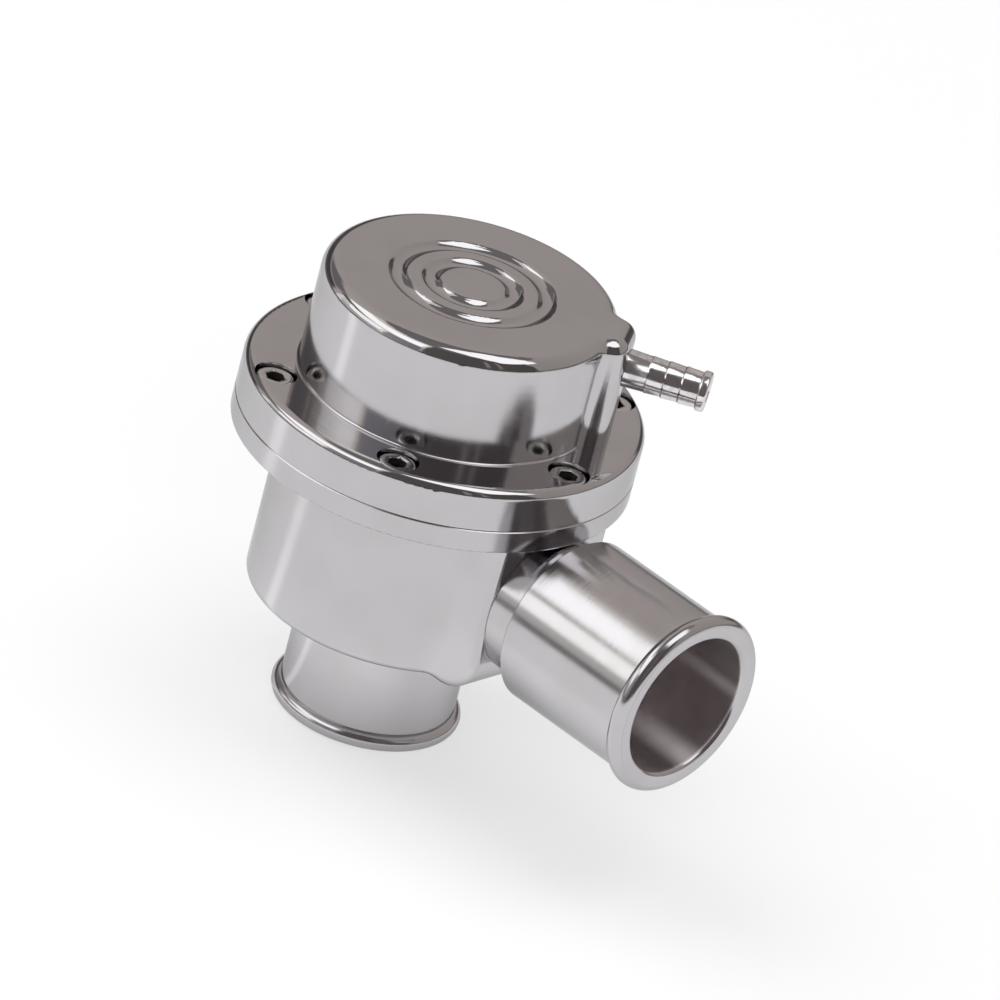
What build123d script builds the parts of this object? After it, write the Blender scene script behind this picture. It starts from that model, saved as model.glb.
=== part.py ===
from build123d import *
from math import cos, pi, radians, sin, sqrt, tan
import os

# Recirculating blow off valve for a turbocharged engine, turned and milled from aluminium.
# Millimetres. Z runs up the valve's axis from the mouth of the inlet stub, where z is 0.
# The side port points along +X. The valve is shown shut: the spring holds the head on its seat.

# Hose stubs, alike at the inlet and at the side port
hose_od = 25.0
hose_wall = 2.1
bead_rise = 1.1
bead_length = 2.6
mouth_round = 0.8

# Body
inlet_reach = 17.6
body_od = 42.0
body_height = 27.9
body_wall = 3.0
floor_thickness = 3.2
seat_rise = 2.5
seat_width = 1.8
seat_round = 0.4
body_edge = 1.2
stub_root = 0.6
body_flange = 3.4
flange_land = 0.7
flange_edge = 0.3
joint_chamfer = 0.15

# Pad milled on the body's side, as wide as the neck that seats on it
pad_rise = 4.9
pad_round = 6.0
pad_root = 3.0

# Side port
neck_od = 21.2
neck_gap = 0.1
spigot_step = 1.2
spigot_wall = 1.0
shoulder_gap = 2.4
port_length = 24.4
port_cone = 3.0
shoulder_edge = 0.25

# Cap
cap_flange = 6.3
flange_round = 1.4
cap_rise = 16.5
cap_wall = 3.0
cap_roof = 4.0
cap_edge = 2.3
ring_radii = (10.6, 5.9)
ring_section = 1.6
ring_depth = 0.7
ring_lip = 0.6

# Lobe on the cap that carries the vacuum nipple
nipple_azimuth = 33.5
nipple_height = 11.1
lobe_rise = 2.5
lobe_tip = 7.6
lobe_taper = 25.0
lobe_root_round = 2.4
lobe_tip_round = 2.6

# Vacuum nipple
nipple_od = 5.4
nipple_bore = 2.6
nipple_length = 11.8
nipple_tail_od = 4.0
nipple_tail = 3.6
nipple_plain = 3.2
barb_count = 3
barb_step = 0.3
tip_ring = 1.3
tip_rise = 0.2

# Cap screws, six M3 by 6 socket heads sunk in counterbores
screw_count = 6
screw_od = 3.0
screw_length = 6.0
screw_head_od = 5.4
screw_head = 3.0
screw_socket = 2.5
socket_depth = 1.5
head_sink = 0.4
counterbore_gap = 0.3
drum_gap = 0.8
shank_gap = 0.1
screw_edge = 0.3

# Moving valve
lift = 5.0
head_overlap = 1.2
head_thickness = 2.5
head_hub_od = 13.0
head_hub_rise = 1.5
head_edge = 0.5
seal_thickness = 1.5
seal_inset = 0.5
retainer_gap = 1.6
retainer_thickness = 1.5
stem_low_od = 5.0
stem_mid_od = 8.0
stem_top_od = 6.0
journal_od = 5.2
journal_play = 0.05
journal_entry = 7.5
stem_point = 0.6
stem_chamfer = 0.4
low_nut_flats = 8.0
low_nut_height = 5.0
top_nut_flats = 10.0
top_nut_height = 3.2
top_washer_od = 12.0
top_washer_thickness = 1.6
nut_chamfer = 0.3
thread_show = 0.5

# Guide bush in the cap
bush_wall = 1.9
bush_length = 9.5
guide_wall = 2.4
guide_gap = 0.8
pocket_gap = 0.5
bush_chamfer = 0.3

# Diaphragm and its plates
rubber = 1.0
diaphragm_drop = 4.8
rim_thickness = 1.2
rim_gap = 0.7
rim_bead = 1.6
rim_bead_depth = 0.8
roll_width = 3.4
rim_free = 0.6
rubber_gap = 0.3
plate_thickness = 1.5
plate_edge = 0.4
plate_land = 0.8
cup_wall = 1.2
cup_rise = 3.0

# Return spring
spring_wire = 1.8
spring_gap = 0.6
spring_turns = 7

# Radii, reaches and heights that follow from the sizes above
hose_r = hose_od / 2
bore_r = hose_r - hose_wall
bead_r = bead_length / 2
bead_centre = hose_r + bead_rise - bead_r
body_r = body_od / 2
chamber_r = body_r - body_wall
cap_r = body_r
cavity_r = cap_r - cap_wall
screw_r = screw_od / 2
counterbore_r = screw_head_od / 2 + counterbore_gap
screw_circle_r = cap_r + drum_gap + counterbore_r
flange_r = screw_circle_r + counterbore_r + flange_land

body_base = inlet_reach
floor_z = body_base + floor_thickness
seat_z = floor_z + seat_rise
clamp_z = body_base + body_height
flange_low = clamp_z - body_flange
flange_top = clamp_z + cap_flange
cap_top = flange_top + cap_rise
roof_z = cap_top - cap_roof
head_seat = flange_top - head_sink - screw_head

neck_r = neck_od / 2
spigot_r = neck_r - spigot_step
neck_bore_r = spigot_r - spigot_wall
pad_face = body_r + pad_rise
shoulder_x = flange_r + shoulder_gap
port_mouth = shoulder_x + port_length
port_z = flange_low - neck_gap - neck_r
port_axis = Axis((0, 0, port_z), (1, 0, 0))
lip_r = bore_r + seat_width

# The pad's sides leave the drum at side_x, and the root round ends before the lower round begins
side_x = sqrt(body_r**2 - neck_r**2)
root_room = (pad_face - pad_round - side_x) * (body_r + neck_r) / side_x

rim_r = screw_circle_r - screw_r - shank_gap - rim_gap
rim_inner = chamber_r - rim_free
rim_low = clamp_z - rim_thickness
groove_low = rim_low - rim_bead_depth
rubber_top = rim_low - diaphragm_drop
rubber_low = rubber_top - rubber

head_r = lip_r + head_overlap
head_low = seat_z + seal_thickness
head_high = head_low + head_thickness
hub_top = head_high + head_hub_rise
retainer_low = seat_z - retainer_thickness
low_nut_z = retainer_low - low_nut_height

low_plate_z = rubber_low - plate_thickness
plate_top = rubber_top + plate_thickness
washer_top = plate_top + top_washer_thickness
top_nut_z = washer_top + top_nut_height
thread_top = top_nut_z + thread_show
roll_inner = rim_inner - roll_width
plate_r = roll_inner - plate_land
stem_low_r = stem_low_od / 2
stem_top_r = stem_top_od / 2

guide_low = thread_top + lift + guide_gap
stem_high = guide_low + journal_entry
pocket_top = stem_high + lift + pocket_gap
bush_top = guide_low + bush_length
journal_r = journal_od / 2
bush_bore_r = journal_r + journal_play
bush_r = bush_bore_r + bush_wall
guide_r = bush_r + guide_wall
nipple_z = flange_top + nipple_height
lobe_reach = cap_r + lobe_rise
nipple_tip = lobe_reach + nipple_length
spring_r = plate_r - cup_wall - spring_gap - spring_wire / 2


def block(left, right, low, high, mode=Mode.ADD):
    # Rectangle of a section, given by its limits on both axes
    with Locations(((left + right) / 2, (low + high) / 2)):
        Rectangle(right - left, high - low, mode=mode)


def corners(sketch, *places):
    # The sketch's corners that lie nearest to the given places
    return [sketch.vertices().sort_by_distance(place)[0] for place in places]


def finish(part, name):
    # Names a finished piece and writes it out
    part.label = name
    export_step(part, f"parts/{name}.step")


os.makedirs("parts", exist_ok=True)


# Body: a drum with a milled pad for the port, then the stub, floor, valve seat and flange turned on it.
# The round on the pad's upright edges runs on down its lower round and along under its sides.
with BuildPart() as body:
    with BuildSketch(Plane.XZ) as section:
        block(0, pad_face, body_base, flange_low)
        fillet(corners(section, (pad_face, body_base)), pad_round)
    extrude(amount=neck_r, both=True)
    fillet(body.edges().filter_by(Axis.Z).group_by(Axis.X)[-1], body_edge)
    with BuildSketch(Plane.XZ) as section:
        block(0, body_r, body_base, flange_low)
        fillet(corners(section, (body_r, body_base)), body_edge)
    revolve(axis=Axis.Z)
    fillet(body.edges().filter_by(Axis.Z).group_by(Axis.X)[0], min(pad_root, root_room))
    with BuildSketch(Plane.XY.offset(body_base)):
        Circle(chamber_r)
    extrude(amount=flange_low - body_base, mode=Mode.SUBTRACT)
    with BuildSketch(Plane.XZ) as section:
        block(0, hose_r, 0, body_base)
        block(0, chamber_r, body_base, floor_z)
        block(0, lip_r, floor_z, seat_z)
        fillet(corners(section, (hose_r, body_base)), stub_root)
        with Locations((bead_centre, bead_r)):
            Circle(bead_r)
        block(0, bore_r, 0, seat_z, mode=Mode.SUBTRACT)
        fillet(corners(section, (bore_r, 0)), mouth_round)
        fillet(corners(section, (bore_r, seat_z), (lip_r, seat_z)), seat_round)
        block(chamber_r, flange_r, flange_low, clamp_z)
        block(0, rim_r, rim_low, clamp_z, mode=Mode.SUBTRACT)
        block(rim_r - rim_bead, rim_r, groove_low, rim_low, mode=Mode.SUBTRACT)
        fillet(corners(section, (flange_r, flange_low)), flange_edge)
        chamfer(corners(section, (flange_r, clamp_z)), joint_chamfer)
    revolve(axis=Axis.Z)
    with BuildSketch(Plane.YZ.offset(lip_r)):
        with Locations((0, port_z)):
            Circle(spigot_r)
    extrude(amount=pad_face - lip_r, mode=Mode.SUBTRACT)
    with BuildSketch(Plane.XY.offset(flange_low)):
        with PolarLocations(screw_circle_r, screw_count):
            Circle(screw_r)
    extrude(amount=body_flange, mode=Mode.SUBTRACT)
finish(body.part, "body")


# Side port: a turned stub whose neck seats on the pad, with a spigot bored flush with the chamber
with BuildPart() as side_port:
    with BuildSketch(Plane((0, 0, port_z), x_dir=(1, 0, 0), z_dir=(0, -1, 0))) as section:
        block(lip_r, pad_face, 0, spigot_r)
        block(pad_face, shoulder_x, 0, neck_r)
        block(shoulder_x, port_mouth, 0, hose_r)
        chamfer(corners(section, (pad_face, neck_r)), joint_chamfer)
        chamfer(corners(section, (shoulder_x, hose_r)), shoulder_edge)
        with Locations((port_mouth - bead_r, bead_centre)):
            Circle(bead_r)
        block(lip_r, port_mouth, 0, neck_bore_r, mode=Mode.SUBTRACT)
        with BuildLine():
            Polyline(
                (shoulder_x, neck_bore_r),
                (shoulder_x + port_cone, bore_r),
                (port_mouth, bore_r),
                (port_mouth, neck_bore_r),
                close=True,
            )
        make_face(mode=Mode.SUBTRACT)
        fillet(corners(section, (port_mouth, bore_r)), mouth_round)
    revolve(axis=port_axis)
    with BuildSketch(Plane.XY.offset(floor_z)):
        Circle(chamber_r)
    extrude(amount=clamp_z - floor_z, mode=Mode.SUBTRACT)
finish(side_port.part, "side_port")


# Cap: flange, drum, nipple lobe and the rings turned in its roof
lobe_foot = cavity_r
lobe_foot_half = lobe_tip / 2 + (lobe_reach - lobe_foot) * tan(radians(lobe_taper))
lobe_end = (lobe_reach * cos(radians(nipple_azimuth)), lobe_reach * sin(radians(nipple_azimuth)))
nipple_plane = Plane.XZ.rotated((0, 0, nipple_azimuth))
nipple_axis = Axis((0, 0, nipple_z), nipple_plane.x_dir)

with BuildPart() as cap:
    with BuildSketch(Plane.XZ) as section:
        block(0, flange_r, clamp_z, flange_top)
        fillet(corners(section, (flange_r, flange_top)), flange_round)
        chamfer(corners(section, (flange_r, clamp_z)), joint_chamfer)
    revolve(axis=Axis.Z)
    with BuildSketch(Plane.XY.offset(flange_top)) as plan:
        Circle(cap_r)
        with Locations(Location((0, 0, 0), (0, 0, nipple_azimuth))):
            Polygon(
                (lobe_foot, -lobe_foot_half),
                (lobe_reach, -lobe_tip / 2),
                (lobe_reach, lobe_tip / 2),
                (lobe_foot, lobe_foot_half),
                align=None,
            )
        fillet(plan.vertices().sort_by_distance(lobe_end)[2:4], lobe_root_round)
        fillet(plan.vertices().sort_by_distance(lobe_end)[:2], lobe_tip_round)
    extrude(amount=cap_rise)
    fillet(cap.faces().sort_by(Axis.Z)[-1].edges(), cap_edge)
    with BuildSketch(Plane.XZ) as section:
        block(0, cavity_r, clamp_z, roof_z)
        block(0, guide_r, guide_low, roof_z, mode=Mode.SUBTRACT)
        block(0, bush_r, guide_low, bush_top)
        block(0, bush_bore_r, bush_top, pocket_top)
        with Locations(*[(radius, cap_top + ring_section - ring_depth) for radius in ring_radii]):
            Circle(ring_section)
    revolve(axis=Axis.Z, mode=Mode.SUBTRACT)
    ring_edges = cap.edges().filter_by(GeomType.CIRCLE).filter_by_position(Axis.Z, cap_top, cap_top)
    fillet([edge for edge in ring_edges if edge.radius < cavity_r], ring_lip)
    with BuildSketch(nipple_plane) as section:
        block(guide_r, lobe_reach, nipple_z - nipple_bore / 2, nipple_z)
        block(lobe_reach - nipple_tail, lobe_reach, nipple_z - nipple_tail_od / 2, nipple_z)
    revolve(axis=nipple_axis, mode=Mode.SUBTRACT)
    with BuildSketch(Plane.XY.offset(flange_top)):
        with PolarLocations(screw_circle_r, screw_count):
            Circle(counterbore_r)
    extrude(amount=head_seat - flange_top, mode=Mode.SUBTRACT)
    with BuildSketch(Plane.XY.offset(clamp_z)):
        with PolarLocations(screw_circle_r, screw_count):
            Circle(screw_r + shank_gap)
    extrude(amount=cap_flange, mode=Mode.SUBTRACT)
finish(cap.part, "cap")


# Guide bush: bronze, pressed up into the boss under the cap's roof
with BuildPart() as guide_bush:
    with BuildSketch(Plane.XZ) as section:
        block(bush_bore_r, bush_r, guide_low, bush_top)
        chamfer(corners(section, (bush_bore_r, guide_low), (bush_bore_r, bush_top)), bush_chamfer)
    revolve(axis=Axis.Z)
finish(guide_bush.part, "guide_bush")


# Vacuum nipple: a turned tube with shallow barbs, pressed into the lobe
barb_pitch = (nipple_length - nipple_plain - tip_ring) / barb_count
nipple_r = nipple_od / 2

with BuildPart() as vacuum_nipple:
    with BuildSketch(nipple_plane) as section:
        with Locations((0, nipple_z)):
            block(lobe_reach - nipple_tail, lobe_reach, 0, nipple_tail_od / 2)
            block(lobe_reach, lobe_reach + nipple_plain, 0, nipple_r)
            for barb in range(barb_count):
                barb_start = lobe_reach + nipple_plain + barb * barb_pitch
                with BuildLine():
                    Polyline(
                        (barb_start, nipple_z),
                        (barb_start, nipple_z + nipple_r),
                        (barb_start + barb_pitch, nipple_z + nipple_r - barb_step),
                        (barb_start + barb_pitch, nipple_z),
                        close=True,
                    )
                make_face()
            block(nipple_tip - tip_ring, nipple_tip, 0, nipple_r + tip_rise)
            fillet(corners(section, (nipple_tip, nipple_z + nipple_r + tip_rise)), tip_rise)
            block(lobe_reach - nipple_tail, nipple_tip, 0, nipple_bore / 2, mode=Mode.SUBTRACT)
    revolve(axis=nipple_axis)
finish(vacuum_nipple.part, "vacuum_nipple")


# Cap screws, the first over the side port and the others every sixth of a turn
for number in range(screw_count):
    angle = radians(360 / screw_count * number)
    seat = Plane((screw_circle_r * cos(angle), screw_circle_r * sin(angle), head_seat))
    with BuildPart() as cap_screw:
        with BuildSketch(seat):
            Circle(screw_head_od / 2)
        extrude(amount=screw_head)
        fillet(cap_screw.edges().sort_by(Axis.Z)[-1], screw_edge)
        with BuildSketch(seat.offset(screw_head)):
            RegularPolygon(screw_socket / 2, 6, major_radius=False)
        extrude(amount=-socket_depth, mode=Mode.SUBTRACT)
        with BuildSketch(seat):
            Circle(screw_r)
        extrude(amount=-screw_length)
        chamfer(cap_screw.edges().sort_by(Axis.Z)[0], screw_edge)
    finish(cap_screw.part, f"cap_screw_{number + 1}")


# Diaphragm: moulded rubber, its beaded rim clamped between the flanges and its middle on the stem
with BuildPart() as diaphragm:
    with BuildSketch(Plane.XZ) as section:
        with BuildLine():
            Line((stem_top_r + rubber_gap, rubber_top - rubber / 2), (roll_inner, rubber_top - rubber / 2))
            Spline(
                (roll_inner, rubber_top - rubber / 2),
                (rim_inner, clamp_z - rubber / 2),
                tangents=((1, 0), (1, 0)),
            )
        trace(line_width=rubber)
        block(rim_inner, rim_r, rim_low, clamp_z)
        block(rim_r - rim_bead, rim_r, groove_low, rim_low)
    revolve(axis=Axis.Z)
finish(diaphragm.part, "diaphragm")


# Plates on both sides of the diaphragm: a flat one below, and a cup above that holds the spring
with BuildPart() as lower_plate:
    with BuildSketch(Plane.XZ) as section:
        block(stem_top_r, plate_r, low_plate_z, rubber_low)
        fillet(corners(section, (plate_r, low_plate_z), (plate_r, rubber_low)), plate_edge)
    revolve(axis=Axis.Z)
finish(lower_plate.part, "lower_plate")

with BuildPart() as spring_cup:
    with BuildSketch(Plane.XZ) as section:
        block(stem_top_r, plate_r, rubber_top, plate_top)
        block(plate_r - cup_wall, plate_r, rubber_top, plate_top + cup_rise)
        fillet(corners(section, (plate_r, rubber_top), (plate_r - cup_wall, plate_top)), plate_edge)
        fillet(corners(section, (plate_r, plate_top + cup_rise)), plate_edge)
    revolve(axis=Axis.Z)
finish(spring_cup.part, "spring_cup")


# Stem: the shoulders at its middle carry the valve head below and the diaphragm plates above
stem_low = low_nut_z - stem_point
with BuildPart() as valve_stem:
    with BuildSketch(Plane.XZ) as section:
        block(0, stem_low_r, stem_low, hub_top)
        block(0, stem_mid_od / 2, hub_top, low_plate_z)
        block(0, stem_top_r, low_plate_z, thread_top)
        block(0, journal_r, thread_top, stem_high)
        chamfer(corners(section, (stem_low_r, stem_low), (journal_r, stem_high)), stem_chamfer)
    revolve(axis=Axis.Z)
finish(valve_stem.part, "valve_stem")


# Valve head with a coned back, its flat rubber seal, and the plate that holds the seal
with BuildPart() as valve_head:
    with BuildSketch(Plane.XZ) as section:
        with BuildLine():
            Polyline(
                (stem_low_r, head_low),
                (head_r, head_low),
                (head_r, head_high),
                (head_hub_od / 2, hub_top),
                (stem_low_r, hub_top),
                close=True,
            )
        make_face()
        fillet(corners(section, (head_r, head_low), (head_r, head_high)), head_edge)
    revolve(axis=Axis.Z)
finish(valve_head.part, "valve_head")

with BuildPart() as valve_seal:
    with BuildSketch(Plane.XZ):
        block(stem_low_r, head_r - seal_inset, seat_z, head_low)
    revolve(axis=Axis.Z)
finish(valve_seal.part, "valve_seal")

with BuildPart() as seal_retainer:
    with BuildSketch(Plane.XZ) as section:
        block(stem_low_r, bore_r - retainer_gap, retainer_low, seat_z)
        fillet(corners(section, (bore_r - retainer_gap, retainer_low)), plate_edge)
    revolve(axis=Axis.Z)
finish(seal_retainer.part, "seal_retainer")


# Nuts on both ends of the stem, and the washer under the upper one
with BuildPart() as stem_washer:
    with BuildSketch(Plane.XY.offset(plate_top)):
        Circle(top_washer_od / 2)
        Circle(stem_top_r, mode=Mode.SUBTRACT)
    extrude(amount=top_washer_thickness)
finish(stem_washer.part, "stem_washer")

nut_sizes = {
    "diaphragm_nut": (washer_top, top_nut_height, top_nut_flats, stem_top_r),
    "head_nut": (low_nut_z, low_nut_height, low_nut_flats, stem_low_r),
}
for name, (nut_low, height, flats, hole_r) in nut_sizes.items():
    with BuildPart() as nut:
        with BuildSketch(Plane.XY.offset(nut_low)):
            RegularPolygon(flats / 2, 6, major_radius=False)
        extrude(amount=height)
        with BuildSketch(Plane.XZ) as section:
            nut_corner = flats / sqrt(3)
            block(0, nut_corner, nut_low, nut_low + height)
            chamfer(
                corners(section, (nut_corner, nut_low), (nut_corner, nut_low + height)),
                length=nut_chamfer,
                length2=nut_corner - flats / 2,
            )
        revolve(axis=Axis.Z, mode=Mode.INTERSECT)
        with BuildSketch(Plane.XY.offset(nut_low)):
            Circle(hole_r)
        extrude(amount=height, mode=Mode.SUBTRACT)
    finish(nut.part, name)


# Return spring: round wire between the cup and the cap's roof, its ends closed and ground flat.
# One sine law opens the pitch from a wire's width at both ends to its widest in the middle.
spring_length = roof_z - plate_top
pitch_swing = (spring_length - spring_wire * spring_turns) / (2 * pi)
turn_points = 10


def coil_point(step):
    turn = step / turn_points
    height = spring_length * turn / spring_turns - pitch_swing * sin(2 * pi * turn / spring_turns)
    angle = 2 * pi * turn
    return (spring_r * cos(angle), spring_r * sin(angle), plate_top + height)


with BuildPart() as return_spring:
    with BuildLine() as coil:
        Spline(*[coil_point(step) for step in range(spring_turns * turn_points + 1)])
    with BuildSketch(Plane(coil.line @ 0, z_dir=coil.line % 0)):
        Circle(spring_wire / 2)
    sweep()
    with BuildSketch(Plane.XY.offset(plate_top)):
        Circle(spring_r + spring_wire)
    extrude(amount=spring_length, mode=Mode.INTERSECT)
finish(return_spring.part, "return_spring")
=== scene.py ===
import bpy
import bmesh
import math
import numpy as np
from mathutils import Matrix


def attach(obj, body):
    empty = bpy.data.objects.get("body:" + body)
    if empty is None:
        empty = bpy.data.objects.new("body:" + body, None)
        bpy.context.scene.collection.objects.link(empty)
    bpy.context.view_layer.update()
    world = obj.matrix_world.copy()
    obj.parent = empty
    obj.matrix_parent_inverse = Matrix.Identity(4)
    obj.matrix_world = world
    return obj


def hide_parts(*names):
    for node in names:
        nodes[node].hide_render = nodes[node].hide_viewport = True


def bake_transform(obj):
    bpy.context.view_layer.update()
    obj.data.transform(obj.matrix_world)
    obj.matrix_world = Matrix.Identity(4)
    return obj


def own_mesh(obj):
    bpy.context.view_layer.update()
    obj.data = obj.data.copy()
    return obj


# Blow off valve in turned aluminium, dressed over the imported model. Shapes are written in
# millimetres and become metres when a mesh is made. Z is the valve's axis, and the port points along X.
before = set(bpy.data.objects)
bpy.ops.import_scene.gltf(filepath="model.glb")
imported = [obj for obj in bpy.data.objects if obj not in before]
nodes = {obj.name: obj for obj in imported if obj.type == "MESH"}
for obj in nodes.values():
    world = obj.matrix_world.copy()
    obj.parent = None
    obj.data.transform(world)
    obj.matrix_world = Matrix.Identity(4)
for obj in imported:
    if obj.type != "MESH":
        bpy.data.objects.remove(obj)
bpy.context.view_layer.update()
scene = bpy.context.scene
millimetre = 0.001
print("frame loaded with", len(nodes), "nodes")


# Camera: a long lens, turned a little so that the valve leans to the right
camera = {
    "place": (0.9198, -1.1367, 0.8114),
    "turn": (61.279, -13.048, 45.593),
    "lens": 428.6,
    "clipStart": 0.05,
}
lens = bpy.data.cameras.new("camera")
lens.lens = camera["lens"]
lens.clip_start = camera["clipStart"]
eye = bpy.data.objects.new("camera", lens)
eye.location = camera["place"]
eye.rotation_euler = [math.radians(angle) for angle in camera["turn"]]
scene.collection.objects.link(eye)
scene.camera = eye
scene.view_settings.view_transform = "Standard"
print("camera placed")


class Wire:
    # One value in a material's tree. Arithmetic on it adds the Math nodes that work it out.
    def __init__(self, finish, socket):
        self.finish = finish
        self.socket = socket

    def sum(self, operation, first, second):
        return self.finish.add("Math", {"operation": operation}, {0: first, 1: second})

    def __add__(self, other):
        return self.sum("ADD", self, other)

    def __radd__(self, other):
        return self.sum("ADD", other, self)

    def __sub__(self, other):
        return self.sum("SUBTRACT", self, other)

    def __rsub__(self, other):
        return self.sum("SUBTRACT", other, self)

    def __mul__(self, other):
        return self.sum("MULTIPLY", self, other)

    def __rmul__(self, other):
        return self.sum("MULTIPLY", other, self)

    def __pow__(self, other):
        return self.sum("POWER", self, other)


class Finish:
    # A material's or the world's node tree, emptied, with one method that adds a node
    def __init__(self, owner):
        owner.use_nodes = True
        self.owner = owner
        self.tree = owner.node_tree
        self.tree.nodes.clear()

    def add(self, kind, settings, values, output=0):
        # The settings come first, because some of them change which sockets the node has
        node = self.tree.nodes.new("ShaderNode" + kind)
        for name, setting in settings.items():
            setattr(node, name, setting)
        for name, value in values.items():
            if isinstance(value, Wire):
                self.tree.links.new(value.socket, node.inputs[name])
            else:
                node.inputs[name].default_value = value
        return Wire(self, node.outputs[output]) if node.outputs else None

    def place(self):
        return self.add("TexCoord", {}, {}, "Object")

    def split(self, vector):
        return [self.add("SeparateXYZ", {}, {0: vector}, axis) for axis in "XYZ"]

    def noise(self, vector, scale, detail=2.0, roughness=0.5):
        return self.add(
            "TexNoise", {}, {"Vector": vector, "Scale": scale, "Detail": detail, "Roughness": roughness}
        )

    def blend(self, factor, first, second):
        # Mixes two colours
        colours = {"data_type": "RGBA"}
        return self.add("Mix", colours, {0: factor, 6: first, 7: second}, 2)

    def ramp(self, value, low, high, fromLevel=0.0, toLevel=1.0):
        # Spreads the values between two limits over a new range, smoothly
        settings = {"interpolation_type": "SMOOTHSTEP"}
        return self.add(
            "MapRange", settings, {0: value, 1: low, 2: high, 3: fromLevel, 4: toLevel}
        )


def shade(red, green, blue):
    # A colour with full alpha
    return (red, green, blue, 1.0)


def latheRings(finish, along, centre):
    # Place on a turned surface: distance from the lathe's axis, and distance along it
    away = [-c for c in centre]
    shifted = finish.add(
        "Mapping", {"vector_type": "POINT"}, {"Vector": finish.place(), "Location": away}
    )
    x, y, z = finish.split(shifted)
    across, depth = (y, z) if along == "x" else (x, y)
    radius = (across * across + depth * depth) ** 0.5
    return finish.add("CombineXYZ", {}, {0: radius, 1: x if along == "x" else z, 2: 0.0})


lathe = {  # what all turned metal shares
    "broadShare": 0.12, "smudgeScale": 110.0, "patchRange": (0.35, 0.7), "stainShare": 0.5,
    "hairStretch": (900.0, 60.0, 240.0), "hairRange": (0.66, 0.72), "hairRoughness": 0.03,
    "boreEdge": 0.0001, "paintedShadeRoughness": 0.35, "uprightLimit": 0.25, "edgeTint": 0.72,
}


def turnedMetal(name, look):
    # Metal from the lathe: fine rings that follow the tool, soft smudges and a few hairlines.
    # The rings smear a reflection along the lathe's axis, as tool marks do.
    finish = Finish(bpy.data.materials.new(name))
    place = finish.place()
    rings = latheRings(finish, look.get("along", "z"), look.get("centre", (0, 0, 0)))
    fine = finish.noise(rings, look["ringScale"], 2.0)
    broad = finish.noise(rings, look["ringScale"] * lathe["broadShare"], 1.0)
    smudge = finish.noise(place, look.get("smudgeScale", lathe["smudgeScale"]), 3.0)
    patch = finish.ramp(smudge, *lathe["patchRange"])
    hairs = finish.add(
        "Mapping", {"vector_type": "POINT"}, {"Vector": place, "Scale": lathe["hairStretch"]}
    )
    hair = finish.ramp(finish.noise(hairs, 1.0, 1.0), *lathe["hairRange"])
    roughness = look["roughness"] + patch * look["smudge"] + hair * lathe["hairRoughness"]
    tint = finish.blend(patch * lathe["stainShare"], shade(*look["colour"]), shade(*look["stain"]))
    metallic = 1.0
    if "boreRadius" in look:
        edge = look["boreRadius"] + lathe["boreEdge"]
        inside = finish.ramp(finish.split(rings)[0], look["boreRadius"], edge, 1.0, 0.0)
        roughness = roughness + inside * look["boreRoughness"]
        # painted light: the bore takes a lighter copy of the aluminium's colours, so that its inside
        # renders brighter
        boreLitTint = finish.blend(patch, shade(*look["boreLitColour"]), shade(*look["boreLitStain"]))
        tint = finish.blend(inside, tint, boreLitTint)
        # painted light streaks along the bore: lanes made less metallic so that the lamps light them,
        # standing in for soft reflections. Each has its bearing round the axis, half width and strength
        y, z = finish.split(place)[1:]
        bearing = finish.add("Math", {"operation": "ARCTAN2"}, {0: z - look["centre"][2], 1: y})
        for middle, half, strength in look["boreLightStreaks"]:
            away = finish.add("Math", {"operation": "ABSOLUTE"}, {0: bearing - middle})
            metallic = metallic - inside * finish.ramp(away, 0.0, half, strength, 0.0)
    # painted shade: rows with a share of it darken towards its near-black colour and get rougher
    if "paintedShade" in look:
        paintedShade = finish.add("Attribute", {"attribute_name": "paintedShade"}, {}, "Fac")
        tint = finish.blend(paintedShade, tint, shade(*look["paintedShade"]))
        roughness = roughness + paintedShade * lathe["paintedShadeRoughness"]
    if "satin" in look:  # upright walls keep more of the tool's marks than the polished faces
        level = finish.split(finish.add("NewGeometry", {}, {}, "Normal"))[2]
        upright = finish.ramp(level * level, 0.0, lathe["uprightLimit"], 1.0, 0.0)
        roughness = roughness + upright * look["satin"]
        fine = fine * (1 + upright * look["satinMarks"])
    height = fine * look["ringDepth"] + broad * look["waveDepth"]
    bump = finish.add("Bump", {}, {"Height": height, "Strength": 1.0, "Distance": millimetre})
    metal = finish.add(
        "BsdfPrincipled",
        {},
        {"Base Color": tint, "Metallic": metallic, "Roughness": roughness, "Normal": bump,
         "Specular Tint": shade(*[lathe["edgeTint"]] * 3)},
    )
    finish.add("OutputMaterial", {}, {"Surface": metal})
    return finish.owner


def rubberFinish(name, look):
    # Moulded rubber: near black, with a fine grain and dusty patches
    finish = Finish(bpy.data.materials.new(name))
    place = finish.place()
    grain = finish.noise(place, look["grainScale"], 3.0)
    dust = finish.ramp(finish.noise(place, look["dustScale"], 3.0), *look["dustRange"])
    tint = finish.blend(dust, shade(*look["colour"]), shade(*look["dust"]))
    depth = look["grainDepth"] * millimetre
    bump = finish.add("Bump", {}, {"Height": grain, "Strength": look["grain"], "Distance": depth})
    roughness = look["roughness"] + dust * look["dustRoughness"]
    skin = finish.add(
        "BsdfPrincipled", {}, {"Base Color": tint, "Roughness": roughness, "Normal": bump}
    )
    finish.add("OutputMaterial", {}, {"Surface": skin})
    return finish.owner


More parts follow.
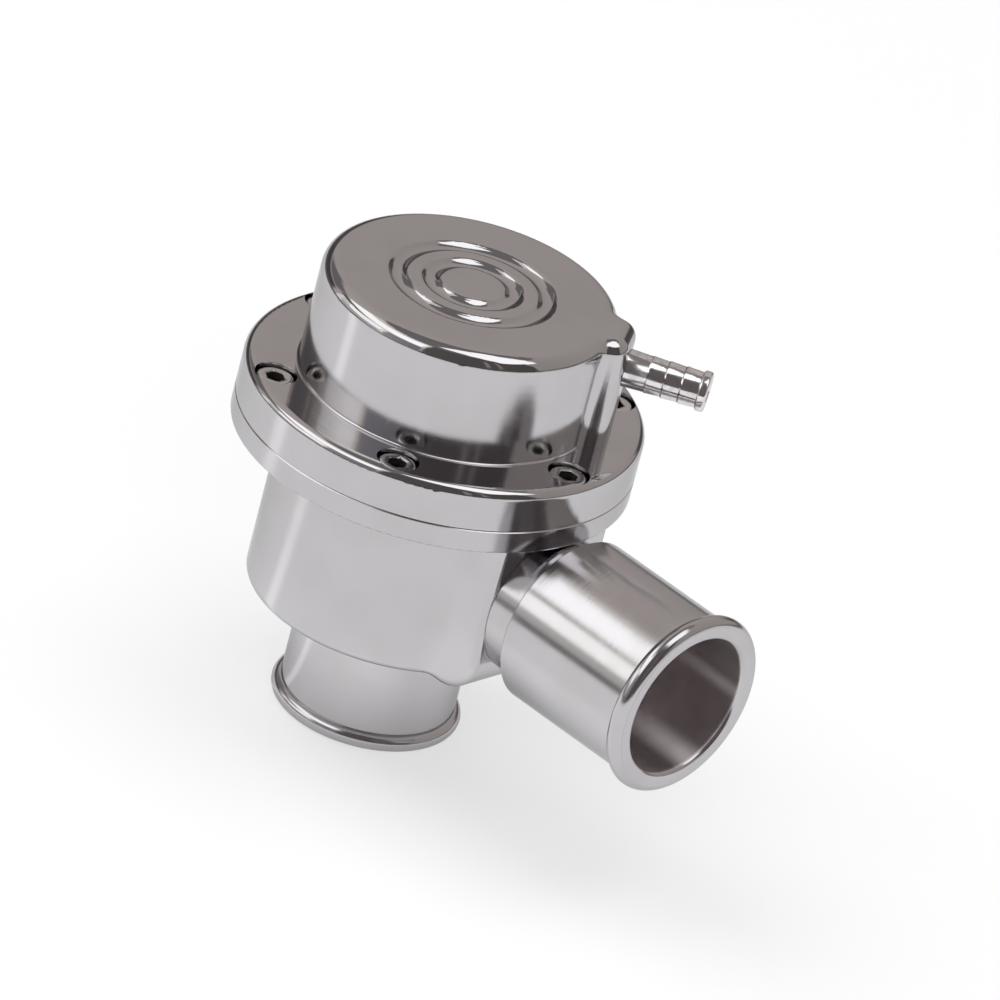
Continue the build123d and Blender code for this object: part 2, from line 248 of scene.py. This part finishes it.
aluminium = (0.585, 0.572, 0.588)
aluminiumStain = (0.54, 0.522, 0.53)
finishes = {
    "cap": turnedMetal("capPolish", {
        "colour": aluminium, "stain": aluminiumStain, "roughness": 0.055, "smudge": 0.03,
        "ringScale": 9000.0, "ringDepth": 0.0016, "waveDepth": 0.002, "satin": 0.065, "satinMarks": 1.0,
    }),
    "body": turnedMetal("bodySatin", {
        "colour": aluminium, "stain": aluminiumStain, "roughness": 0.14, "smudge": 0.05,
        "ringScale": 5000.0, "ringDepth": 0.008, "waveDepth": 0.002,
    }),
    "side_port": turnedMetal("portPolish", {
        "colour": aluminium, "stain": aluminiumStain, "roughness": 0.145, "smudge": 0.04,
        "ringScale": 5000.0, "ringDepth": 0.012, "waveDepth": 0.004,
        "along": "x", "centre": (0, 0, 0.0314), "boreRadius": 0.01044, "boreRoughness": 0.22,
        # the bore's colours are a lighter copy of the aluminium: painted light inside the bore
        "boreLitColour": (0.86, 0.80, 0.81), "boreLitStain": (0.66, 0.60, 0.61),
        # painted light streaks inside the bore, each as bearing, half width and strength
        "boreLightStreaks": ((-1.17, 0.30, 0.8), (-0.03, 0.16, 0.45)),
    }),
    "plates": turnedMetal("plateTurning", {
        "colour": (0.55, 0.54, 0.535), "stain": (0.47, 0.46, 0.45), "roughness": 0.26, "smudge": 0.08,
        "ringScale": 3500.0, "ringDepth": 0.010, "waveDepth": 0.006,
    }),
    "steel": turnedMetal("screwSteel", {
        "colour": (0.50, 0.49, 0.48), "stain": (0.42, 0.40, 0.385), "roughness": 0.14, "smudge": 0.08,
        "ringScale": 5000.0, "ringDepth": 0.004, "waveDepth": 0.002,
    }),
    "screw": turnedMetal("socketScrewSteel", {
        "colour": (0.66, 0.645, 0.64), "stain": (0.52, 0.50, 0.49), "roughness": 0.17, "smudge": 0.08,
        # the near-black colour is painted shade in the hex socket
        "ringScale": 5000.0, "ringDepth": 0.008, "waveDepth": 0.002, "paintedShade": (0.03, 0.028, 0.028),
    }),
    "spring": turnedMetal("springSteel", {
        "colour": (0.30, 0.29, 0.285), "stain": (0.20, 0.17, 0.15), "roughness": 0.30, "smudge": 0.12,
        "ringScale": 2500.0, "ringDepth": 0.004, "waveDepth": 0.004,
    }),
    "bronze": turnedMetal("bronzeBush", {
        "colour": (0.52, 0.33, 0.15), "stain": (0.36, 0.22, 0.11), "roughness": 0.28, "smudge": 0.12,
        "ringScale": 3500.0, "ringDepth": 0.008, "waveDepth": 0.004,
    }),
    "rubber": rubberFinish("blackRubber", {
        "colour": (0.022, 0.022, 0.023), "dust": (0.05, 0.048, 0.046), "roughness": 0.5,
        "grainScale": 2600.0, "grain": 0.6, "grainDepth": 0.05,
        "dustScale": 160.0, "dustRange": (0.45, 0.75), "dustRoughness": 0.15,
    }),
}
nodeFinish = {
    "cap": "cap", "body": "body", "side_port": "side_port",
    "guide_bush": "bronze", "spring_cup": "plates", "lower_plate": "plates",
    "valve_head": "plates", "seal_retainer": "plates", "valve_seal": "rubber",
    "valve_stem": "steel", "stem_washer": "steel", "diaphragm_nut": "steel", "head_nut": "steel",
}
for node, chosen in nodeFinish.items():
    for slot in nodes[node].material_slots:
        slot.material = finishes[chosen]
print("finishes made:", len(finishes))


def gridPiece(name, points, finish, joinAlong=False, sharp=32.0, paintedShade=None):
    # A surface through a grid of points in millimetres, one row per step along the shape and one
    # column per step round it. Columns always join up. Rows join up too where the shape is a ring.
    # Points that meet on an axis are merged, which closes the poles. The painted shade is one share per
    # row.
    rows, columns = points.shape[:2]
    order = np.arange(rows * columns).reshape(rows, columns)
    order = np.concatenate([order, order[:, :1]], axis=1)
    if joinAlong:
        order = np.concatenate([order, order[:1]], axis=0)
    faces = np.stack(
        [order[:-1, :-1], order[:-1, 1:], order[1:, 1:], order[1:, :-1]], axis=-1
    ).reshape(-1, 4)
    mesh = bpy.data.meshes.new(name)
    mesh.from_pydata((points.reshape(-1, 3) * millimetre).tolist(), [], faces.tolist())
    if paintedShade is not None:
        shares = mesh.attributes.new("paintedShade", "FLOAT", "POINT")
        shares.data.foreach_set("value", np.repeat(paintedShade, columns))
    work = bmesh.new()
    work.from_mesh(mesh)
    bmesh.ops.remove_doubles(work, verts=work.verts, dist=1e-7)
    bmesh.ops.recalc_face_normals(work, faces=work.faces)
    work.to_mesh(mesh)
    work.free()
    mesh.polygons.foreach_set("use_smooth", np.ones(len(mesh.polygons), dtype=bool))
    mesh.set_sharp_from_angle(angle=math.radians(sharp))
    mesh.materials.append(finish)
    piece = bpy.data.objects.new(name, mesh)
    scene.collection.objects.link(piece)
    return piece


def bow(centre, radius, start, end, steps=9):
    # Arc of a profile: centre plus radius times the cosine and sine of an angle in degrees
    angle = np.radians(np.linspace(start, end, steps))
    return np.stack([centre[0] + radius * np.cos(angle), centre[1] + radius * np.sin(angle)], axis=1)


def roundTurns(radius, height, steps):
    # Sweeps a profile round an axis: x is radius times cosine, y is radius times sine, z is height.
    # The radius may be one number per row, or one per row and column where the outline isn't round.
    angle = np.linspace(0, 2 * np.pi, steps, endpoint=False)
    radius = np.broadcast_to(radius if radius.ndim == 2 else radius[:, None], (len(height), steps))
    height = np.broadcast_to(height[:, None], radius.shape)
    return np.stack([radius * np.cos(angle), radius * np.sin(angle), height], axis=-1)


def standOn(points, origin, axis, side):
    # Turns points from a piece's own frame into the model's: side, axis x side, and axis
    axis, side = np.array(axis, dtype=float), np.array(side, dtype=float)
    return np.array(origin) + points @ np.array([side, np.cross(axis, side), axis])


# Cap screws: six M3 socket heads, each replacing its CAD node
screw = {
    "circle": 24.8, "seat": 48.4, "headRadius": 2.7, "headHeight": 3.0, "rimRound": 0.5,
    "socketHalf": 1.25, "socketDepth": 1.5, "socketBevel": 0.12, "drillPoint": 0.35,
    "knurls": 24, "knurlDepth": 0.07, "shankRadius": 1.5, "length": 6.0, "pitch": 0.5,
    "threadDepth": 0.26, "runOut": 0.4, "neckStep": 0.1, "neckLow": 0.35, "footChamfer": 0.15,
    "rimSeam": 0.02, "columns": 120, "turnStep": 23.0,
    "paintedShade": (0.1, 1.0, 1.0),  # painted shade in the hex socket: a share at its mouth, its foot and its floor
}


def screwPoints(s, twist):
    # Rows from the shank's tip over the head to the socket's floor. In the thread the radius follows
    # a triangle wave of height less turn, on the head's side it dips with each knurl, and in the
    # socket it is the half width across flats over the cosine of the angle from the nearest flat.
    angle = np.linspace(0, 2 * np.pi, s["columns"], endpoint=False)
    shank, head, top = s["shankRadius"], s["headRadius"], s["headHeight"]
    rimLow, rimIn = top - s["rimRound"], head - s["rimRound"]
    threadHeight = np.arange(-s["length"] + s["runOut"], -s["runOut"], s["pitch"] / 5)
    phase = threadHeight[:, None] / s["pitch"] - angle[None, :] / (2 * np.pi)
    wave = np.abs((phase % 1.0) * 2 - 1)
    thread = shank - s["threadDepth"] * wave
    flank = bow((rimIn, rimLow), s["rimRound"], 0, 90, 8)
    plain = np.array([(0, -s["length"]), (shank - s["runOut"], -s["length"])])
    neckRadius = shank - s["neckStep"]
    neck = np.array([(neckRadius, -s["neckLow"]), (neckRadius, 0), (head - s["footChamfer"], 0)])
    side = np.array([(head, s["footChamfer"]), (head, rimLow - s["rimSeam"])])
    corner = (angle + twist) % (np.pi / 3) - np.pi / 6
    hexagon = 1 / np.cos(corner)
    bevelled = s["socketHalf"] / math.cos(math.pi / 6) + s["socketBevel"]
    face = np.array([(bevelled, top)])
    socket = np.array([
        (s["socketHalf"], top - s["socketBevel"]),
        (s["socketHalf"], top - s["socketDepth"]),
    ])
    floor = np.array([(0, top - s["socketDepth"] - s["drillPoint"])])
    knurl = 1 - s["knurlDepth"] / head * (0.5 + 0.5 * np.cos(angle * s["knurls"]))
    level = np.ones_like(angle)
    radius = np.concatenate([
        plain[:, :1] * level, thread, neck[:, :1] * level, side[:, :1] * knurl,
        flank[:, :1] * level, face[:, :1] * level, socket[:, :1] * hexagon, floor[:, :1] * level,
    ])
    height = np.concatenate([
        plain[:, 1], threadHeight, neck[:, 1], side[:, 1],
        flank[:, 1], face[:, 1], socket[:, 1], floor[:, 1],
    ])
    return roundTurns(radius, height, s["columns"])


for number in range(6):
    around = math.radians(60 * number)
    twist = math.radians(screw["turnStep"] * number)
    middle = (screw["circle"] * math.cos(around), screw["circle"] * math.sin(around), screw["seat"])
    points = standOn(screwPoints(screw, twist), middle, (0, 0, 1), (1, 0, 0))
    # painted shade: the last rows, in the hex socket, carry a share of it
    paintedShade = np.zeros(len(points))
    paintedShade[-len(screw["paintedShade"]):] = screw["paintedShade"]
    piece = gridPiece("capScrew" + str(number + 1), points, finishes["screw"], sharp=38, paintedShade=paintedShade)
    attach(piece, "housing")
    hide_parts("cap_screw_" + str(number + 1))
print("cap screws made")


# Foot of the cap's drum: the small round that the turning tool leaves where the wall meets the flange
footRound = {"radius": 21.0, "level": 51.8, "round": 0.42, "sink": 0.15, "columns": 240}


def footPoints(f):
    # Quarter circle, hollow towards the corner, closed by a step sunk into the wall and the flange
    arc = bow((f["radius"] + f["round"], f["level"] + f["round"]), f["round"], 180, 270, 9)
    low, inner = f["level"] - f["sink"], f["radius"] - f["sink"]
    back = np.array([
        (f["radius"] + f["round"], low), (inner, low), (inner, f["level"] + f["round"]),
    ])
    profile = np.concatenate([arc, back])
    return roundTurns(profile[:, 0], profile[:, 1], f["columns"])


piece = gridPiece("capFootRound", footPoints(footRound), finishes["cap"], joinAlong=True)
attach(piece, "housing")
print("foot round made")


# Vacuum nipple: a turned tube with shallow barbs and a ring at its tip
nipple = {
    "azimuth": 33.5, "height": 62.9, "root": 23.5, "radius": 2.7, "bore": 1.3, "length": 11.8,
    "tailRadius": 2.0, "tail": 3.6, "plain": 3.2, "barbs": 3, "barbStep": 0.13, "firstStep": 0.1,
    "barbBack": 0.12, "barbTop": 0.1, "barbFront": 0.35, "barbEase": 0.05,
    "tipRing": 1.3, "tipRise": 0.2, "tipEase": 0.15, "tipLead": 0.08, "leadRound": 0.25,
    "leadRise": 0.3, "rimRound": 0.35, "boreChamfer": 0.2, "columns": 96,
}


def nippleProfile(n):
    # From the tail's bore out and along the tube: plain, then barbs that fall by a step each,
    # then the tip's rounded ring, its face and the bore back
    pitch = (n["length"] - n["plain"] - n["tipRing"]) / n["barbs"]
    radius, end = n["radius"], n["length"]
    eased = radius - n["barbEase"]
    bore, tail = n["bore"], n["tailRadius"]
    rows = [(bore, -n["tail"]), (tail, -n["tail"]), (tail, 0.0), (radius, 0.0)]
    for barb in range(n["barbs"]):
        start = n["plain"] + barb * pitch
        low = radius - (n["barbStep"] if barb else n["firstStep"])
        rows += [
            (low, start - n["barbBack"]), (eased, start),
            (radius, start + n["barbTop"]), (eased, start + n["barbFront"]),
        ]
    ringLow = end - n["tipRing"]
    tip = radius + n["tipRise"]
    rows += [(radius - n["barbStep"], ringLow), (tip - n["tipEase"], ringLow + n["tipLead"])]
    lead = bow((tip - n["leadRound"], ringLow + n["leadRise"]), n["leadRound"], -60, 0, 5)
    rim = bow((tip - n["rimRound"], end - n["rimRound"]), n["rimRound"], 0, 90, 7)
    inner = [(bore + n["boreChamfer"], end), (bore, end - n["boreChamfer"])]
    return np.concatenate([np.array(rows), lead, rim, np.array(inner)])


profile = nippleProfile(nipple)
outward = math.radians(nipple["azimuth"])
nippleAxis = (math.cos(outward), math.sin(outward), 0)
nippleRoot = (nipple["root"] * nippleAxis[0], nipple["root"] * nippleAxis[1], nipple["height"])
points = roundTurns(profile[:, 0], profile[:, 1], nipple["columns"])
finishes["nipple"] = turnedMetal("nipplePolish", {
    "colour": (0.88, 0.86, 0.87), "stain": (0.56, 0.53, 0.54), "roughness": 0.11, "smudge": 0.08,
    "smudgeScale": 900.0, "ringScale": 1500.0, "ringDepth": 0.010, "waveDepth": 0.012,
})
points = standOn(points, nippleRoot, nippleAxis, (0, 0, 1))
piece = gridPiece("vacuumNipple", points, finishes["nipple"], joinAlong=True)
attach(piece, "housing")
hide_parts("vacuum_nipple")
print("vacuum nipple made")


# Return spring: round wire whose pitch opens from closed ends to its widest in the middle
spring = {
    "radius": 10.5, "wire": 1.8, "turns": 7, "low": 41.0, "high": 64.3, "steps": 60, "columns": 20,
}


def springPoints(s):
    # Height is the length times the share of the turns, less a sine that closes both ends. The
    # wire's circle stands on the outward direction and the one across the path, and both ends are
    # ground flat by holding the height between the limits.
    count = s["turns"] * s["steps"] + 1
    turn = np.linspace(0, s["turns"], count)
    length = s["high"] - s["low"]
    swing = (length - s["wire"] * s["turns"]) / (2 * np.pi)
    share = 2 * np.pi * turn / s["turns"]
    height = s["low"] + length * turn / s["turns"] - swing * np.sin(share)
    angle = 2 * np.pi * turn
    path = np.stack([s["radius"] * np.cos(angle), s["radius"] * np.sin(angle), height], axis=1)
    heading = np.gradient(path, axis=0)
    heading /= np.linalg.norm(heading, axis=1)[:, None]
    outwards = np.stack([np.cos(angle), np.sin(angle), np.zeros(count)], axis=1)
    up = np.cross(outwards, heading)
    wind = np.linspace(0, 2 * np.pi, s["columns"], endpoint=False)
    ring = outwards[:, None] * np.cos(wind)[None, :, None] + up[:, None] * np.sin(wind)[None, :, None]
    points = path[:, None] + ring * s["wire"] / 2
    ends = path[[0, -1], None] + np.zeros((2, s["columns"], 3))
    points = np.concatenate([ends[:1], points, ends[1:]])
    points[..., 2] = np.clip(points[..., 2], s["low"], s["high"])
    return points


piece = gridPiece("returnSpring", springPoints(spring), finishes["spring"])
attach(piece, "housing")
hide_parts("return_spring")
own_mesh(piece)
print("return spring made")


# Diaphragm: rubber from the stem out to the roll, up to the rim that the flanges clamp
diaphragm = {
    "hole": 3.3, "middle": 39.0, "rollInner": 14.0, "rollOuter": 17.4, "rimMiddle": 45.0,
    "thickness": 1.0, "rimRadius": 22.5, "rimLow": 44.3, "rimHigh": 45.5, "beadWidth": 1.6,
    "beadLow": 43.5, "flatSteps": 12, "rollSteps": 25, "columns": 144,
}


def diaphragmProfile(d):
    # The middle line is flat, then climbs the roll by the smooth step 3t^2 - 2t^3. Both skins are
    # that line moved by half the thickness along its normal, and the rim is a beaded block.
    share = np.linspace(0, 1, d["rollSteps"])
    across = np.linspace(d["hole"], d["rollInner"], d["flatSteps"])
    flat = np.stack([across, np.full(d["flatSteps"], d["middle"])], axis=1)
    climb = d["rimMiddle"] - d["middle"]
    roll = np.stack([
        d["rollInner"] + share * (d["rollOuter"] - d["rollInner"]),
        d["middle"] + climb * (3 * share**2 - 2 * share**3),
    ], axis=1)
    line = np.concatenate([flat, roll[1:]])
    heading = np.gradient(line, axis=0)
    heading /= np.linalg.norm(heading, axis=1)[:, None]
    normal = np.stack([-heading[:, 1], heading[:, 0]], axis=1) * d["thickness"] / 2
    over, under = line + normal, line - normal
    over[-1] = (d["rollOuter"], d["rimHigh"])
    under[-1] = (d["rollOuter"], d["rimLow"])
    bead = d["rimRadius"] - d["beadWidth"]
    rim = np.array([
        (d["rimRadius"], d["rimHigh"]), (d["rimRadius"], d["beadLow"]),
        (bead, d["beadLow"]), (bead, d["rimLow"]),
    ])
    return np.concatenate([over, rim, under[::-1]])


profile = diaphragmProfile(diaphragm)
piece = gridPiece(
    "rollingDiaphragm", roundTurns(profile[:, 0], profile[:, 1], diaphragm["columns"]),
    finishes["rubber"], joinAlong=True,
)
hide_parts("diaphragm")
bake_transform(piece)
print("diaphragm made")


# Studio: a pale floor, the lamps, and cards that only a reflection can see
studio = {
    "centre": (0.010, 0.0, 0.035), "floorRadius": 8.0, "floorShade": 0.45, "floorMottle": 0.985,
    "floorGrain": 14.0, "floorGlow": 0.57, "worldShade": 0.30,
}
mirror = {  # how bright the floor is in a reflection, painted by distance from the valve and in one lane: a painted shadow at the valve's foot, a brighter ring further out and a brighter lane
    "footGlow": 0.36, "nearGlow": 0.58, "mirrorGlow": 0.46,
    "footReach": (0.012, 0.036), "nearReach": (0.042, 0.065),
    "laneBearing": -134.0, "laneReach": (0.03, 0.12), "laneGlow": 0.30,
}
lamps = {  # azimuth, elevation, distance, width, share of plain white light
    "keyLamp": (-150.0, 58.0, 1.6, 1.2, 0.42),
    "topLamp": (60.0, 78.0, 1.7, 1.4, 0.35),
    "frontLamp": (-40.0, 35.0, 1.8, 1.2, 0.20),
}
# Cards: corners as azimuth and elevation from the lower left, distance, edge softness, and one colour
# or one for each end
cards = {
    "backWall": (
        ((14, -3), (200, -3), (200, 62), (14, 62)), 3.0, 0.0,
        (0.38, 0.35, 0.335), (0.56, 0.515, 0.485),
    ),
    "ceiling": (((-180, 58), (180, 58), (180, 90), (-180, 90)), 3.2, 0.0, (0.20, 0.19, 0.19)),
    "sideShade": (((148, -10), (198, -10), (196, 20), (148, 20)), 2.6, 0.15, (0.085, 0.08, 0.08)),
    "sideHalf": (((150, 18), (196, 18), (196, 40), (150, 40)), 2.7, 0.2, (0.19, 0.18, 0.18)),
    "lowBack": (((86, -3), (118, -3), (112, 22), (92, 22)), 2.6, 0.3, (0.11, 0.10, 0.10)),
    "lowBackLeft": (((131, -3), (158, -3), (156, 19), (133, 19)), 2.65, 0.15, (0.11, 0.10, 0.10)),
    "frontShade": (
        ((-77, -2), (15, -2), (15, 64), (-77, 64)), 2.6, 0.03,
        (0.12, 0.108, 0.106), (0.10, 0.088, 0.086),
    ),
    "frontSlit": (((-27, 2), (-23, 2), (-23, 52), (-27, 52)), 2.3, 0.3, (0.34, 0.31, 0.31)),
    "frontSlitRight": (((-17, 2), (-14, 2), (-14, 52), (-17, 52)), 2.3, 0.3, (0.34, 0.31, 0.31)),
    "leftBoxHigh": (((-166, 38), (-78, 33), (-78, 56), (-160, 54)), 2.4, 0.01, (1.62, 1.62, 1.62)),
    "leftBoxLow": (((-144, 15), (-111, 14), (-111, 32), (-150, 28)), 2.4, 0.02, (1.50, 1.50, 1.47)),
    "leftEdge": (((-111, 6), (-108, 6), (-108, 32), (-111, 32)), 2.4, 0.2, (1.25, 1.20, 0.95)),
    "leftPatch": (
        ((-108, 3), (-76, 3), (-76, 32), (-108, 32)), 2.5, 0.03,
        (0.36, 0.35, 0.385), (0.22, 0.215, 0.24),
    ),
    "leftGap": (((-152, 4), (-77, 4), (-77, 62), (-166, 62)), 2.8, 0.0, (0.86, 0.84, 0.79)),
    "leftFoot": (((-152, 4), (-111, 4), (-111, 13.5), (-152, 14)), 2.7, 0.0, (0.56, 0.55, 0.53)),
    "leftBar": (((-168, 26), (-128, 30), (-128, 33), (-168, 36)), 2.2, 0.05, (0.14, 0.13, 0.12)),
    "skirting": (((-180, -4), (180, -4), (180, 4.5), (-180, 4.5)), 0.75, 0.0, (0.17, 0.16, 0.16)),
    "frontSkirting": (((-77, -4), (15, -4), (15, 5), (-77, 5)), 0.74, 0.0, (0.06, 0.055, 0.055)),
}
overhead = {  # a softbox flat above the valve: the way it runs, its ends and half width, and its height
    "azimuth": 10.0, "near": -0.03, "far": 1.9, "half": 0.53, "height": 1.9,
    "soft": 0.03, "colour": (1.6, 1.6, 1.6),
}


def towards(azimuth, elevation):
    # Unit direction from the object: east is azimuth 0 and straight up is elevation 90
    azimuth, elevation = np.radians(azimuth), np.radians(elevation)
    return np.stack(
        [np.cos(azimuth) * np.cos(elevation), np.sin(azimuth) * np.cos(elevation), np.sin(elevation)],
        axis=-1,
    )


def sheetPiece(name, points, finish):
    # An open sheet through a grid of points in metres, with its grid as the UV map
    rows, columns = points.shape[:2]
    order = np.arange(rows * columns).reshape(rows, columns)
    faces = np.stack(
        [order[:-1, :-1], order[:-1, 1:], order[1:, 1:], order[1:, :-1]], axis=-1
    ).reshape(-1, 4)
    mesh = bpy.data.meshes.new(name)
    mesh.from_pydata(points.reshape(-1, 3).tolist(), [], faces.tolist())
    across, along = np.meshgrid(np.linspace(0, 1, columns), np.linspace(0, 1, rows))
    spread = np.stack([across, along], axis=-1).reshape(-1, 2)[faces.reshape(-1)]
    mesh.uv_layers.new(name="spread").data.foreach_set("uv", spread.reshape(-1))
    mesh.materials.append(finish)
    sheet = bpy.data.objects.new(name, mesh)
    scene.collection.objects.link(sheet)
    return sheet


def cardFinish(name, soft, *colours):
    # A glowing card that runs from its first colour to its last, and whose edges fade over a share of
    # its width and height
    finish = Finish(bpy.data.materials.new(name))
    u, v, w = finish.split(finish.add("TexCoord", {}, {}, "UV"))
    tint = finish.blend(u, shade(*colours[0]), shade(*colours[-1]))
    glow = finish.add("Emission", {}, {"Color": tint, "Strength": 1.0})
    if soft:
        edges = [finish.ramp(side, 0.0, soft) for side in (u, 1 - u, v, 1 - v)]
        cover = edges[0] * edges[1] * edges[2] * edges[3]
        clear = finish.add("BsdfTransparent", {}, {})
        glow = finish.add("MixShader", {}, {0: cover, 1: clear, 2: glow})
    finish.add("OutputMaterial", {}, {"Surface": glow})
    return finish.owner


def cardPoints(corners, distance):
    # Patch of a sphere: azimuth and elevation run evenly between the four corners
    u, v = np.meshgrid(np.linspace(0, 1, 49), np.linspace(0, 1, 17))
    a, b, c, d = [np.array(corner, dtype=float) for corner in corners]
    u, v = u[..., None], v[..., None]
    angles = (a * (1 - u) + b * u) * (1 - v) + (d * (1 - u) + c * u) * v
    return np.array(studio["centre"]) + distance * towards(angles[..., 0], angles[..., 1])


def overheadPoints(o):
    # Flat rectangle at one height, along an azimuth
    u, v = np.meshgrid(np.linspace(0, 1, 9), np.linspace(-1, 1, 9))
    along, across = towards(o["azimuth"], 0.0), towards(o["azimuth"] + 90, 0.0)
    reach = (o["near"] + (o["far"] - o["near"]) * u)[..., None]
    sideways = v[..., None] * o["half"] * across
    return np.array(studio["centre"]) + reach * along + sideways + (0, 0, o["height"])


sheets = {
    name: (cardPoints(corners, distance), cardFinish(name, soft, *colours))
    for name, (corners, distance, soft, *colours) in cards.items()
}
overheadFinish = cardFinish("overheadBox", overhead["soft"], overhead["colour"])
sheets["overheadBox"] = (overheadPoints(overhead), overheadFinish)
for name, (points, glowing) in sheets.items():  # only a reflection sees a card
    card = sheetPiece(name, points, glowing)
    card.visible_camera = False
    card.visible_diffuse = False
    card.visible_shadow = False

reach = np.linspace(0, 1, 40)[:, None] ** 2 * studio["floorRadius"]
turn = np.linspace(0, 2 * np.pi, 97)[None, :]
floorPoints = np.stack([reach * np.cos(turn), reach * np.sin(turn), 0 * reach * turn], axis=-1)
finish = Finish(bpy.data.materials.new("paleFloor"))
seen = finish.add("LightPath", {}, {}, "Is Camera Ray")
mirrored = finish.add("LightPath", {}, {}, "Is Glossy Ray")
through = finish.add("LightPath", {}, {}, "Is Transmission Ray")
floorTone = finish.ramp(finish.noise(finish.place(), studio["floorGrain"], 2.0), 0.3, 0.7)
paleTone = [studio["floorShade"]] * 3
mottleTone = [studio["floorShade"] * studio["floorMottle"]] * 3
matt = finish.add(
    "BsdfDiffuse", {}, {"Color": finish.blend(floorTone, shade(*paleTone), shade(*mottleTone))}
)
x, y, z = finish.split(finish.place())
away = (x * x + y * y) ** 0.5
# painted shade and light on the floor, seen only in a reflection: darker at the valve's foot, brighter
# in a ring further out
paintedFloorShadeAndLight = finish.ramp(away, *mirror["footReach"], mirror["footGlow"], mirror["nearGlow"])
fall = mirror["nearGlow"] - mirror["mirrorGlow"]
paintedFloorShadeAndLight = paintedFloorShadeAndLight - finish.ramp(away, *mirror["nearReach"], 0.0, fall)
# painted light: one lane of the floor glows brighter in a reflection
bearing = finish.add("Math", {"operation": "ARCTAN2"}, {0: y, 1: x})
offLane = bearing - math.radians(mirror["laneBearing"])
offLane = finish.add("Math", {"operation": "ABSOLUTE"}, {0: offLane})
lane = finish.ramp(offLane, *mirror["laneReach"], mirror["laneGlow"], 0.0)
glow = finish.add("Emission", {}, {
    "Strength": seen * studio["floorGlow"] + (mirrored + through) * (paintedFloorShadeAndLight + lane),
})
both = finish.add("AddShader", {}, {0: matt, 1: glow})
finish.add("OutputMaterial", {}, {"Surface": both})
sheetPiece("paleFloor", floorPoints, finish.owner)

world = bpy.data.worlds.new("studio")
scene.world = world
finish = Finish(world)
seen = finish.add("LightPath", {}, {}, "Is Camera Ray")
mirrored = finish.add("LightPath", {}, {}, "Is Glossy Ray")
through = finish.add("LightPath", {}, {}, "Is Transmission Ray")
direct = seen + mirrored + through
strength = direct + (1 - direct) * studio["worldShade"]
sky = finish.add("Background", {}, {"Color": shade(1, 1, 1), "Strength": strength})
finish.add("OutputWorld", {}, {"Surface": sky})

for name, (azimuth, elevation, distance, width, level) in lamps.items():
    # At this distance a lamp of power level * pi^2 * distance^2 lights a white sheet to that level
    lamp = bpy.data.lights.new(name, "AREA")
    lamp.shape = "DISK"
    lamp.size = width
    lamp.energy = level * math.pi**2 * distance**2
    holder = bpy.data.objects.new(name, lamp)
    scene.collection.objects.link(holder)
    holder.location = np.array(studio["centre"]) + distance * towards(azimuth, elevation)
    holder.rotation_euler = (math.radians(90 - elevation), 0, math.radians(azimuth + 90))
    holder.visible_glossy = False
print("studio lit")
